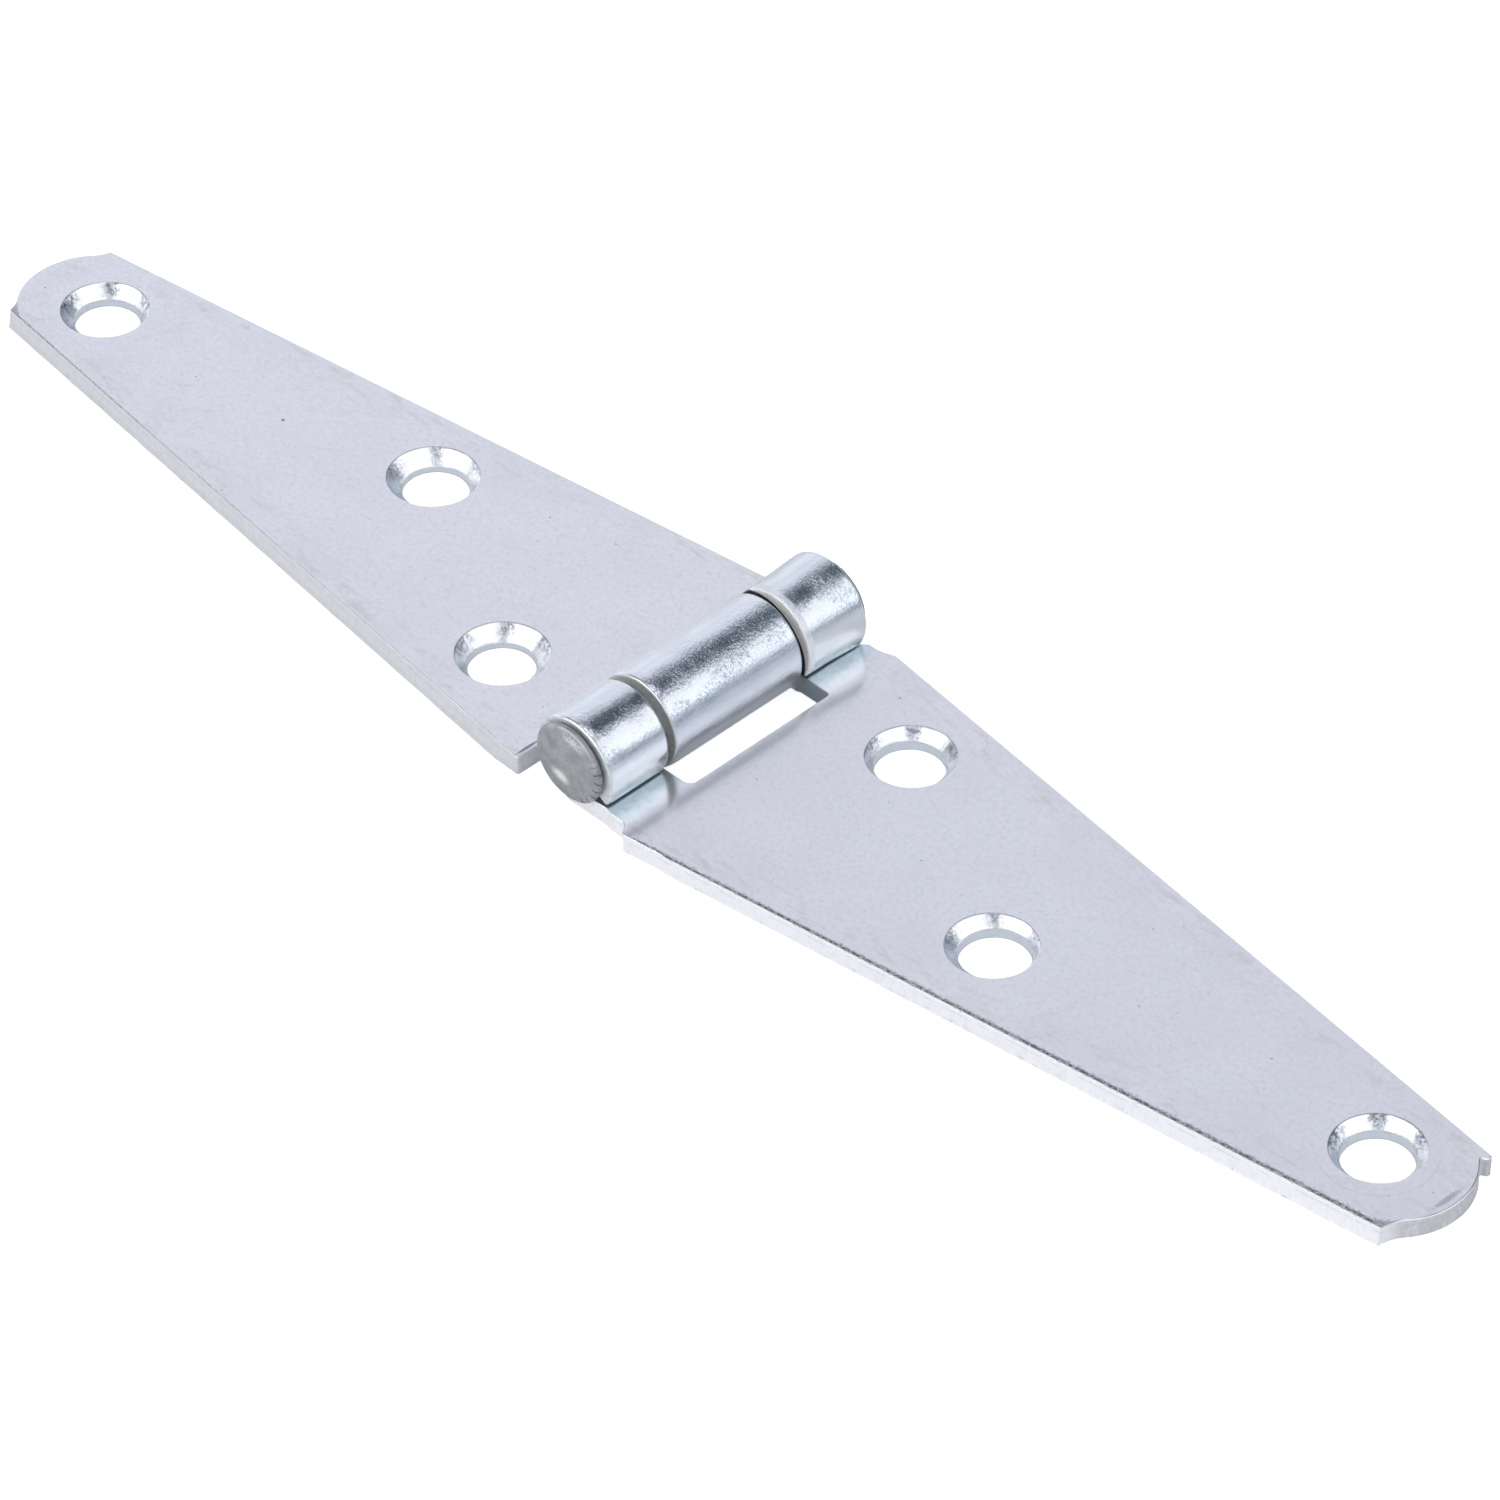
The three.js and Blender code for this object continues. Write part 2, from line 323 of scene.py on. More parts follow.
def fill(sheet, loop, holes, height, up, pitch=0.0, margin=0.0):
    """Triangulates a flat region between vertex loops, with inner points pitch apart if given."""
    ids = list(loop)
    for hole in holes:
        ids += list(hole)
    plan = np.array([sheet.points[i][:2] for i in ids])
    edges = [(i, (i + 1) % len(loop)) for i in range(len(loop))]
    base = len(loop)
    cutouts = []
    for hole in holes:
        edges += [(base + i, base + (i + 1) % len(hole)) for i in range(len(hole))]
        cutouts.append(plan[base : base + len(hole)])
        base += len(hole)
    outer = plan[: len(loop)]
    if pitch:
        low, high = outer.min(0), outer.max(0)
        columns = np.arange(low[0] + pitch / 2, high[0], pitch)
        rows = np.arange(low[1] + pitch / 2, high[1], pitch)
        lattice = np.array(
            [(x + (0.5 * pitch if j % 2 else 0), y) for j, y in enumerate(rows) for x in columns]
        )
        keep = inside(outer, lattice) & (edge_distance(outer, lattice) > margin)
        for cutout in cutouts:
            keep &= ~inside(cutout, lattice) & (edge_distance(cutout, lattice) > margin)
        ids += [sheet.add((x, y, height)) for x, y in lattice[keep]]
        plan = np.vstack([plan, lattice[keep]])
    vertices, _, faces, sources, _, _ = delaunay_2d_cdt(
        [Vector(point) for point in plan], edges, [], 1, 1e-7, True
    )
    places = np.array([(v.x, v.y) for v in vertices])
    centres = np.array([places[list(face)].mean(0) for face in faces])
    keep = inside(outer, centres)
    for cutout in cutouts:
        keep &= ~inside(cutout, centres)
    source = [found[0] if found else None for found in sources]
    for face, kept in zip(faces, keep):
        if not kept:
            continue
        triangle = [ids[source[i]] for i in face]
        area = twice_area(*(places[i] for i in face))
        if abs(area) < 1e-9:
            continue
        if (area > 0) != (up > 0):
            triangle.reverse()
        sheet.faces.append(triangle)


def add_edge(sheet, blank, edge, seed):
    """The sheared edge all round the blank; gives its vertices, from back to front."""
    before, after = blank - np.roll(blank, 1, 0), np.roll(blank, -1, 0) - blank
    tangent = unit(unit(before) + unit(after))
    inward = np.stack([-tangent[:, 1], tangent[:, 0]], 1)
    along = np.concatenate([[0], np.cumsum(np.linalg.norm(after, axis=1))[:-1]])
    top, drop, bottom, rise, rag, flare = edge(blank[:, 0], blank[:, 1], -inward, along)
    span = SHEET - drop - rise
    profile = []  # inset, height, how much it counts as wall
    for u in np.linspace(0, 1, 6):  # rounded back edge
        angle = u * math.pi / 2
        inset = bottom * (1 - math.sin(angle)) - flare
        profile.append((inset, rise * (1 - math.cos(angle)), smooth(0.15, 0.8, u)))
    for u in np.linspace(0, 1, 6)[1:-1]:  # smooth upper wall, slightly recessed ragged break below
        broken = 1 - smooth(0.30, 0.52, u)
        inset = broken * (0.018 + 0.014 * wave(along + 7 * u, seed + 3 * u, 2.3)) * rag
        inset = inset + 0.006 * rag * wave(along, seed + 9, 5.1)
        profile.append((inset - flare * (1 - u) ** 1.4, rise + span * u, 1.0))
    for u in np.linspace(0, 1, 6):  # rounded front edge
        angle = u * math.pi / 2
        inset = top * (1 - math.cos(angle))
        profile.append((inset, SHEET - drop * (1 - math.sin(angle)), 1 - smooth(0.0, 0.22, u)))
    grid = np.zeros((len(blank), len(profile)), int)
    for j, (inset, height, wall) in enumerate(profile):
        points = blank + inward * inset[:, None]
        for i in range(len(blank)):
            grid[i, j] = sheet.add((points[i, 0], points[i, 1], height[i]), wall)
    sheet.close_grid(grid)
    return grid


def hole_profile(mouth, bore, land):
    """(radius, height, hole value) from the back face up through a countersunk hole."""
    profile = [(bore + 0.13, 0.0, 0.0), (bore + 0.08, 0.0, 0.0)]
    back_round = 0.05
    for u in np.linspace(0, 1, 4):
        angle = u * math.pi / 2
        radius = bore + back_round * (1 - math.sin(angle))
        profile.append((radius, back_round * (1 - math.cos(angle)), 2.0))
    profile.append((bore, land * 0.5, 2.0))
    blend = 0.22  # half height of the soft turn from land to cone
    for u in np.linspace(0, 1, 9):
        z = land - blend + 2 * blend * u
        soft = CONE_SLOPE * (blend - abs(z - land)) ** 2 / (4 * blend)
        radius = bore + CONE_SLOPE * max(0.0, z - land) + soft
        profile.append((radius, z, 2.0 - smooth(0.1, 0.9, u)))
    lip, lip_width = 0.07, 0.09  # height and width of the rounding into the front face
    for u in np.linspace(0, 1, 7)[1:-1]:
        z = land + blend + (SHEET - lip - land - blend) * u
        profile.append((bore + CONE_SLOPE * (z - land), z, 1.0))
    for u in np.linspace(0, 1, 6):
        start, middle, end = (1 - u) ** 2, 2 * u * (1 - u), u * u
        radius = start * (mouth - CONE_SLOPE * lip) + middle * mouth + end * (mouth + lip_width)
        z = start * (SHEET - lip) + middle * SHEET + end * SHEET
        profile.append((radius, z, 1.0 - smooth(0.2, 1.0, u)))
    return profile


def add_hole(sheet, hole, seed):
    """One screw hole; gives its vertices, from back to front."""
    x, y, mouth, bore, bore_x, bore_y = hole
    mouth -= 0.05
    land = SHEET - (mouth - bore) / CONE_SLOPE
    profile = hole_profile(mouth, bore, land)
    shift_top = SHEET - 0.1  # the bore's offset fades out up to here
    grid = np.zeros((HOLE_SEGMENTS, len(profile)), int)
    for i in range(HOLE_SEGMENTS):
        a = 2 * math.pi * i / HOLE_SEGMENTS
        for j, (radius, z, kind) in enumerate(profile):
            if 0.99 <= kind <= 1.01 and z < SHEET - 0.03:  # slight lobes on the cone
                radius += 0.012 * math.sin(3 * a + seed + x) + 0.008 * math.sin(7 * a + x)
            low = min(1.0, max(0.0, (shift_top - z) / (shift_top - land)))
            px = x + bore_x * low + radius * math.cos(a)
            py = y + bore_y * low + radius * math.sin(a)
            grid[i, j] = sheet.add((px, py, z), 0.0, kind, (math.cos(a), math.sin(a), x / 10))
    sheet.close_grid(grid, flip=True)
    return grid


def columns_across(width):
    """Fractions across a strip where its columns lie, closer at both edges."""
    width -= 0.5
    dense = [1 - d / width for d in (0.95, 0.75, 0.57, 0.41, 0.27, 0.14)]
    even = list(np.linspace(0, dense[0], max(4, int(round((width - 0.95) / 0.45))) + 1))
    return even[:1] + [0.12 / width, 0.26 / width] + even[1:] + dense[1:] + [1.0]


def add_strip_face(sheet, blank, rim, start, stop, height, up):
    """One face of a rolled strip between two outline indices; gives the ids inside its root."""
    count = len(blank)
    width = abs(blank[start][1] - blank[stop][1])
    rows = 0
    while True:  # rows on both sides that face each other
        a, b = blank[(start + rows) % count], blank[(stop - rows) % count]
        if abs(a[0] - b[0]) > 1e-6 or abs(abs(a[1] - b[1]) - width) > 1e-6:
            break
        rows += 1
    cuts = columns_across(width)
    columns = len(cuts) - 1
    grid = np.zeros((rows, columns + 1), int)
    for r in range(rows):
        grid[r, 0], grid[r, -1] = rim[(start + r) % count], rim[(stop - r) % count]
        first, last = (np.array(sheet.points[grid[r, c]]) for c in (0, -1))
        for c in range(1, columns):
            point = first + (last - first) * cuts[c]
            point[2] = height
            grid[r, c] = sheet.add(point)
    for r in range(rows - 1):
        for c in range(columns):
            quad = [grid[r, c], grid[r, c + 1], grid[r + 1, c + 1], grid[r + 1, c]]
            area = twice_area(*(sheet.points[quad[k]] for k in (0, 1, 3)))
            if (area > 0) != (up > 0):
                quad.reverse()
            sheet.faces.append(quad)
    # the end beyond the last full row
    side_points = (stop - start) % count
    cap = [rim[(start + k) % count] for k in range(rows - 1, side_points - rows + 2)]
    fill(sheet, cap + list(grid[rows - 1, 1:-1][::-1]), [], height, up)
    return list(grid[0, 1:-1])


def add_face(sheet, blank, rim, hole_rims, strip_ends, height, up):
    """The front or back face: the rolled strips, then the flat plate."""
    roots = {}
    for start, stop in strip_ends:
        roots[start] = (stop, add_strip_face(sheet, blank, rim, start, stop, height, up))
    plate = []
    first = i = strip_ends[0][1]
    while True:
        plate.append(rim[i])
        if i in roots:
            i, across = roots[i]
            plate += across
        else:
            i = (i + 1) % len(blank)
        if i == first:
            break
    fill(sheet, plate, hole_rims, height, up, pitch=1.6, margin=0.6)


def grid_normals(points):
    """Normals of the inner columns of a grid that is closed along its rows."""
    round_loop = np.roll(points, -1, 0) - np.roll(points, 1, 0)
    return unit(np.cross(round_loop[:, 1:-1], points[:, 2:] - points[:, :-2]))


def link_mesh(name, vertices, faces):
    """An object with a smooth mesh; vertices in metres."""
    mesh = bpy.data.meshes.new(name)
    mesh.from_pydata(vertices, [], faces)
    mesh.update()
    mesh.polygons.foreach_set("use_smooth", np.ones(len(mesh.polygons), bool))
    piece = bpy.data.objects.new(name, mesh)
    bpy.context.scene.collection.objects.link(piece)
    return piece


def build_leaf(name, blank, holes, strips, edge, seed, mirror=False, extra_radius=0.0):
    """strips: (y at entry, y at exit) of the rolled strips, in outline order.

    edge(x, y, outward, along) gives top inset, top drop, bottom inset, bottom rise, raggedness
    of the break and flare of the break at the back, per outline point.
    """
    sheet = Sheet()
    edge_grid = add_edge(sheet, blank, edge, seed)
    hole_grids = [add_hole(sheet, hole, seed) for hole in holes]
    strip_ends = [
        tuple(int(np.argmin(np.hypot(blank[:, 0], blank[:, 1] - y))) for y in strip)
        for strip in strips
    ]
    for up, column, height in ((1, -1, SHEET), (-1, 0, 0.0)):
        hole_rims = [grid[:, column] for grid in hole_grids]
        add_face(sheet, blank, edge_grid[:, column], hole_rims, strip_ends, height, up)

    flat = np.array(sheet.points)
    knuckles = [(min(strip), max(strip)) for strip in strips]
    points = bend(flat, extra_radius, knuckles)
    normals = bend_normal(flat, knuckles)
    normals[edge_grid[:, 1:-1]] = grid_normals(points[edge_grid])
    for grid in hole_grids:
        normals[grid[:, 1:-1]] = -grid_normals(points[grid])
    faces = [list(map(int, face)) for face in sheet.faces]
    if mirror:
        points[:, 0] *= -1
        normals[:, 0] *= -1
        faces = [face[::-1] for face in faces]
    leaf = link_mesh(name, [tuple(v) for v in points * MM], faces)
    mesh = leaf.data
    mesh.normals_split_custom_set_from_vertices([tuple(v) for v in unit(normals)])
    for key, values in (("blank", flat), ("turn", sheet.turn)):
        attribute = mesh.attributes.new(key, "FLOAT_VECTOR", "POINT")
        attribute.data.foreach_set("vector", np.array(values, np.float32).ravel())
    for key, values in (("wall", sheet.wall), ("hole", sheet.hole)):
        attribute = mesh.attributes.new(key, "FLOAT", "POINT")
        attribute.data.foreach_set("value", np.array(values, np.float32))
    return leaf


def back_edge(x):
    """Inset and rise of the back edge, more rounded on the roll, and raggedness of the break."""
    roll = smooth(-0.3, -1.6, x)
    bottom = np.full_like(x, 0.06) + roll * 0.20
    return bottom, bottom * (1 - 0.3 * roll), 1.0 - 0.6 * roll


def facing_near(y, outward):
    """True on the long edge at -Y."""
    return (y < -3) * (outward[:, 1] < -0.9)


def edge_two(x, y, outward, along):
    """A broad roll-over on the -Y side, small elsewhere, rounded rims on the knuckles."""
    near = smooth(6.2, 9.0, x) * facing_near(y, outward)
    broad = near * (0.17 + 0.11 * smooth(7, 26, x) + 0.045 * wave(along, 2.0, 1.9))
    tip = smooth(74.0, 74.3, x) * (y > -6)
    top = np.where(x < 0, 0.08, np.full_like(x, 0.10) + broad + tip * 0.03)
    flare = 0.20 * smooth(30.0, 70.0, x) * facing_near(y, outward)
    bottom, rise, rag = back_edge(x)
    return top, top * 0.85 - 0.48 * broad, bottom, rise, rag, flare


def edge_one(x, y, outward, along):
    """Small rounded edges, with the break flared along the -Y side."""
    top = np.where(x < 0, 0.08, np.full_like(x, 0.09) + 0.01 * wave(along, 5.0, 7.0))
    flare = (0.25 + 0.02 * wave(along, 3.0, 5.0)) * smooth(5.6, 8.0, x)
    bottom, rise, rag = back_edge(x)
    return top, top * 0.9, bottom, rise, rag, flare * facing_near(y, outward)


leaf_two = build_leaf(
    "strap_leaf_two_knuckles", two_knuckle_blank(), HOLES_TWO,
    strips=((HALF, INNER), (-INNER, -HALF)), edge=edge_two, seed=1.0,
)
leaf_one = build_leaf(
    "strap_leaf_one_knuckle", one_knuckle_blank(), HOLES_ONE,
    strips=((MIDDLE, -MIDDLE),), edge=edge_one, seed=4.0, mirror=True, extra_radius=0.02,
)
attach(leaf_two, "two_knuckle_side")
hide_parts("two_knuckle_leaf")
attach(leaf_one, "one_knuckle_side")
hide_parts("one_knuckle_leaf")


# ------------------------------------------------------------------ pin, with a peened head at each end

PIN_SEGMENTS = 160
SHANK_R = 2.27
SEAT = HALF + 0.04              # underside of a head, from the middle
HEAD_FACE = HALF + 0.75         # outer face of a head, from the middle
# Radii of the rings across a head's face
FACE_RINGS = (
    2.94, 2.82, 2.68, 2.52, 2.34, 2.15, 1.95, 1.75, 1.55,
    1.35, 1.15, 0.97, 0.8, 0.64, 0.5, 0.36, 0.24, 0.12,
)
# Shallow dents in a head: x, z, depth, width
DENTS = ((-0.5, -0.9, 0.05, 0.7), (-0.15, -0.1, 0.06, 0.4))


def dented(y, x, z):
    for dent_x, dent_z, depth, width in DENTS:
        y -= depth * math.exp(-((math.hypot(x - dent_x, z - dent_z) / width) ** 2))
    return y


def head_profile():
    """(radius, y, zone, share of the head's offset); zone 0 is shank side, 1 rim, 2 face."""
    profile = [
        (SHANK_R, SEAT - 0.5, 0, 0.0), (SHANK_R, SEAT - 0.02, 0, 0.0), (2.62, SEAT + 0.01, 0, 0.5),
        (3.0, SEAT + 0.03, 0, 0.9), (3.22, SEAT + 0.09, 1, 1.0), (3.36, SEAT + 0.18, 1, 1.0),
    ]
    for u in np.linspace(0, 1, 8):
        a = u * math.pi / 2
        y = HEAD_FACE - 0.36 + 0.30 * math.sin(a)
        profile.append((3.05 + 0.37 * math.cos(a), y, 1, 1.0))
    for radius in FACE_RINGS:
        profile.append((radius, HEAD_FACE - 0.06 + 0.05 * smooth(3.05, 2.3, radius), 2, 1.0))
    return profile


def hammered(radius, y, a, seed, crimp_phase):
    """Uneven rim and face, with crimp marks pressed into the rim, deeper on one side."""
    r = radius
    r *= 1 + 0.007 * math.sin(2 * a + seed) + 0.004 * math.sin(5 * a + 2 * seed) \
        + 0.002 * math.sin(11 * a)
    side = smooth(-0.1, 0.9, math.cos(a + crimp_phase))
    notch = max(0.0, math.sin(23 * a + 2.1 * math.sin(3 * a + seed))) ** 5
    rim_height = smooth(SEAT + 0.05, HEAD_FACE - 0.12, y)
    r -= 0.05 * side * notch * rim_height * smooth(2.5, 3.2, radius)
    y -= 0.035 * side * notch * smooth(2.45, 3.05, radius)
    ripple = 0.012 * math.sin(3 * a + 2 * radius + seed)
    y += ripple * smooth(0.2, 1.5, radius) * smooth(3.2, 2.6, radius)
    return r, y


def head_rings(sign, seed, shift_x, shift_z, crimp_phase):
    """Rings from the shank to the middle of the head at sign * y, and the middle point."""
    rings = []
    for radius, station, zone, share in head_profile():
        ring = []
        for i in range(PIN_SEGMENTS):
            a = 2 * math.pi * i / PIN_SEGMENTS
            r, y = radius, station
            if zone:
                r, y = hammered(radius, station, a, seed, crimp_phase)
            if zone == 2:
                y = dented(y, radius * math.cos(a), radius * math.sin(a))
            x = r * math.cos(a) + shift_x * share
            ring.append((x, sign * y, ROLL_R + r * math.sin(a) + shift_z * share))
        rings.append(ring)
    middle_y = dented(HEAD_FACE - 0.01, 0.0, 0.0)
    return rings, (shift_x, sign * middle_y, ROLL_R + shift_z)


def build_pin():
    segments = PIN_SEGMENTS
    near, near_middle = head_rings(-1, 0.4, -HEAD_ASIDE, HEAD_RAISED, crimp_phase=0.55)
    far, far_middle = head_rings(1, 2.9, 0.08, 0.1, crimp_phase=-2.2)
    angles = [2 * math.pi * i / segments for i in range(segments)]
    shank = [
        [(SHANK_R * math.cos(a), y, ROLL_R + SHANK_R * math.sin(a)) for a in angles]
        for y in np.linspace(-(SEAT - 0.5), SEAT - 0.5, 15)[1:-1]
    ]
    rings = near[::-1] + shank + far
    vertices = [near_middle] + [point for ring in rings for point in ring] + [far_middle]
    last = len(vertices) - 1
    faces = []
    for i in range(segments):
        k = (i + 1) % segments
        faces.append([0, 1 + i, 1 + k])
        for j in range(len(rings) - 1):
            a, b = 1 + j * segments, 1 + (j + 1) * segments
            faces.append([a + k, a + i, b + i, b + k])
        final = 1 + (len(rings) - 1) * segments
        faces.append([final + k, final + i, last])
    vertices = [(x * MM, y * MM, z * MM) for x, y, z in vertices]
    pin = link_mesh("peened_hinge_pin", vertices, faces)
    bpy.context.view_layer.update()
    return pin


pin = build_pin()
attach(pin, "two_knuckle_side")
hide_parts("hinge_pin")


# ------------------------------------------------------------------ shader graph helpers

class Signal:
    """An output socket; arithmetic and methods on it add nodes and give new signals."""

    def __init__(self, graph, socket):
        self.graph = graph
        self.socket = socket

    def __add__(self, other):
        return self.graph.math("ADD", self, other)

    def __radd__(self, other):
        return self.graph.math("ADD", other, self)

    def __sub__(self, other):
        return self.graph.math("SUBTRACT", self, other)

    def __rsub__(self, other):
        return self.graph.math("SUBTRACT", other, self)

    def __mul__(self, other):
        return self.graph.math("MULTIPLY", self, other)

    def __truediv__(self, other):
        return self.graph.math("DIVIDE", self, other)

    def __pow__(self, other):
        return self.graph.math("POWER", self, other)

    def __abs__(self):
        return self.graph.math("ABSOLUTE", self)

    def ramp(self, start, end, low=0.0, high=1.0):
        """Goes smoothly from low where this is start to high where it is end."""
        inputs = {
            "Value": self, "From Min": start, "From Max": end, "To Min": low, "To Max": high,
        }
        return self.graph.add(
            "ShaderNodeMapRange", inputs, "Result", interpolation_type="SMOOTHSTEP", clamp=True
        )

    def window(self, one, other):
        """1 between two soft limits, each given as (value where 0, value where 1)."""
        return self.ramp(*one) * self.ramp(*other)

    def pick(self, off, on):
        """The number off where this is 0 and on where it is 1."""
        return self.graph.add("ShaderNodeMix", {0: self, 2: off, 3: on}, data_type="FLOAT")

    def paint(self, colour, amount):
        """This colour with another laid over it."""
        return self.graph.mix(amount, self, colour)

    def vector(self, operation, other, output="Vector"):
        return self.graph.add(
            "ShaderNodeVectorMath", {0: self, 1: other}, output, operation=operation
        )

    def stretched(self, x, y, z):
        return self.vector("MULTIPLY", (x, y, z))

    def scaled(self, factor):
        return self.graph.add(
            "ShaderNodeVectorMath", {0: self, "Scale": factor}, operation="SCALE"
        )

    def split(self):
        node = self.graph.node("ShaderNodeSeparateXYZ", {0: self})
        return [Signal(self.graph, socket) for socket in node.outputs]

    def noise(self, scale, detail=2.0, rough=0.5, output="Fac"):
        inputs = {"Vector": self, "Scale": scale, "Detail": detail, "Roughness": rough}
        return self.graph.add("ShaderNodeTexNoise", inputs, output)

    def cells(self, scale, feature="F1"):
        inputs = {"Vector": self, "Scale": scale}
        return self.graph.add("ShaderNodeTexVoronoi", inputs, "Distance", feature=feature)


class Graph:
    """Builds the node tree of a material or world."""

    def __init__(self, tree):
        self.tree = tree
        tree.nodes.clear()

    def node(self, kind, inputs, **settings):
        node = self.tree.nodes.new(kind)
        for name, value in settings.items():
            setattr(node, name, value)
        for key, value in inputs.items():
            if isinstance(value, Signal):
                self.tree.links.new(value.socket, node.inputs[key])
            else:
                node.inputs[key].default_value = value
        return node

    def add(self, kind, inputs, output=0, **settings):
        """Adds a node and gives one of its outputs."""
        return Signal(self, self.node(kind, inputs, **settings).outputs[output])

    def math(self, operation, *values):
        return self.add("ShaderNodeMath", dict(enumerate(values)), operation=operation)

    def hypot(self, u, v):
        return self.math("SQRT", u * u + v * v)

    def mix(self, amount, below, above):
        """Mixes two colours; plain ones are given as (red, green, blue)."""
        below, above = (c if isinstance(c, Signal) else (*c, 1) for c in (below, above))
        return self.add("ShaderNodeMix", {0: amount, 6: below, 7: above}, 2, data_type="RGBA")

    def attribute(self, name, output="Fac"):
        return self.add("ShaderNodeAttribute", {}, output, attribute_name=name)

    def coordinates(self, output):
        return self.add("ShaderNodeTexCoord", {}, output)

    def combine(self, x, y, z):
        return self.add("ShaderNodeCombineXYZ", {0: x, 1: y, 2: z})

    def bump(self, height):
        return self.add("ShaderNodeBump", {"Height": height, "Distance": 0.00003})  # metres

    def metal(self, colour, metallic, roughness, normal):
        return self.add("ShaderNodeBsdfPrincipled", {
            "Metallic": metallic, "Base Color": colour, "Roughness": roughness, "Normal": normal,
        })


def new_material(name):
    material = bpy.data.materials.new(name)
    material.use_nodes = True
    return material, Graph(material.node_tree)


def shade(colour, factor):
    return tuple(factor * c for c in colour)


# ------------------------------------------------------------------ zinc plating of the leaves
# Each layer takes the graph, the shared signals `at`, the leaf's look and the colour so far.

def zinc_places(g, look):
    """Where a point lies on the sheet, and noises that several layers share."""
    at = SimpleNamespace()
    at.blank = g.attribute("blank", "Vector")  # follows the sheet round the roll
    at.grain_space = at.blank.vector(
        "ADD", (17.3 * look.seed, 9.1 * look.seed, 3.7 * look.seed)
    )
    at.x, at.y, at.z = at.blank.split()
    at.off_axis = abs(at.y)
    at.turn = g.attribute("turn", "Vector")
    at.wall = g.attribute("wall")
    at.hole = g.attribute("hole")
    at.roll = at.x.ramp(start=0.5, end=-1.5)
    at.flat = 1.0 - at.roll
    at.cone = at.hole.window((0.3, 0.95), (1.9, 1.3))
    at.land = at.hole.ramp(start=1.15, end=1.85)
    at.cloud = at.grain_space.noise(scale=0.16, detail=3.0, rough=0.55)
    at.fine = at.grain_space.noise(scale=2.2, detail=3.0, rough=0.65)
    at.grain = at.grain_space.stretched(1.0, 1.25, 1.0).noise(scale=3.6, detail=3.0, rough=0.75)
    at.chatter = at.grain_space.noise(scale=2.6, detail=4.0, rough=0.75)
    # degrees round the pin, from +X upwards
    object_x, _, object_z = g.coordinates("Object").scaled(1000.0).split()
    at.theta = g.math("ARCTAN2", object_z - ROLL_R, object_x) * DEGREES
    # distance in from the long edges and from the rounded end
    half_width, width_x, taper, taper_cosine = 14.45, 6.35, 0.1337, 0.991
    side = ((half_width - (at.x - width_x) * taper) - at.off_axis) * taper_cosine
    from_nose = at.blank.vector("SUBTRACT", (LEAF - NOSE_R, 0.0, SHEET))
    from_nose = g.add("ShaderNodeVectorMath", {0: from_nose}, "Value", operation="LENGTH")
    end = at.x.ramp(start=71.0, end=73.0).pick(off=50.0, on=NOSE_R - from_nose)
    at.inset = g.math("MINIMUM", side, end)
    return at


def plating(g, at, look):
    """Faint cloudy tone and fine grain, bluer on the roll."""
    base = g.mix(
        at.cloud.ramp(start=0.35, end=0.7), shade(look.plate, 0.985), shade(look.plate, 1.01)
    )
    fine = at.fine.ramp(start=0.44, end=0.70) * at.roll.pick(off=0.32, on=0.12)
    base = base.paint(colour=(0.72, 0.725, 0.745), amount=fine)
    sand = at.grain_space.stretched(3.0, 4.2, 3.0).noise(scale=1.0, rough=0.7)
    sand = sand.ramp(start=0.50, end=0.68) * at.roll.pick(off=0.20, on=0.0)
    base = base.paint(colour=(0.60, 0.61, 0.64), amount=sand)
    return base.paint(colour=(0.800, 0.832, 0.868), amount=at.roll * 0.85)


def frost(g, at, look, base):
    """Frosted grain on the upper +X side of the knuckles, in random patches."""
    zone = at.theta.window((24, 34), (92, 78)) * at.roll
    high = at.grain_space.noise(scale=0.30).ramp(start=0.35, end=0.65, low=0.6, high=1.0)
    low = at.grain_space.noise(scale=0.42).ramp(start=0.43, end=0.57, low=0.06, high=1.0)
    extent = at.theta.ramp(start=62, end=54).pick(off=high, on=low)
    salt = at.grain_space.stretched(1.0, 1.15, 1.0).noise(scale=7.5, rough=0.7)
    flecks = g.math(
        "MAXIMUM", at.grain.ramp(start=0.50, end=0.58), salt.ramp(start=0.54, end=0.62, high=0.8)
    )
    at.pits = (zone * flecks) * (extent * look.frosted)
    return base.paint(colour=(0.33, 0.385, 0.48), amount=at.pits)


def roll_bands(g, at, look, base):
    """Tone bands round the roll: partly reflections painted as colour, so they stay put."""
    theta, roll = at.theta, at.roll
    # painted shade just past the top of the roll, towards -X
    painted_shade_upper = theta.window((94, 102), (128, 112)) * roll
    base = base.paint(colour=(0.60, 0.60, 0.62), amount=painted_shade_upper * 0.42)
    # painted shade low on the +X side of the roll, as much as the leaf's dusk
    low = (theta.ramp(start=40, end=31) * theta.ramp(start=-6, end=12, low=0.30)) * roll
    base = base.paint(colour=(0.42, 0.46, 0.53), amount=low * look.dusk)
    # a painted dark reflection band round the roll near 30 degrees, with a ragged brim
    raggedness = 9.0  # degrees that the grain moves the brim by
    brim_low = (theta + at.grain * raggedness).ramp(start=27, end=32)
    brim_high = (theta + at.grain * raggedness).ramp(start=42, end=35)
    base = base.paint(colour=(0.34, 0.37, 0.45), amount=((brim_low * brim_high) * roll) * look.brim)
    if look.slotted:
        # painted highlight on the underside of the roll
        painted_highlight_under = roll * theta.ramp(start=6, end=-8, high=0.8)
        base = base.paint(colour=(0.97, 0.98, 0.99), amount=painted_highlight_under)
    # painted shade on the upper -X side of the roll
    painted_shade_behind = roll * theta.ramp(start=132, end=152, high=0.25)
    return base.paint(colour=(0.60, 0.60, 0.62), amount=painted_shade_behind)


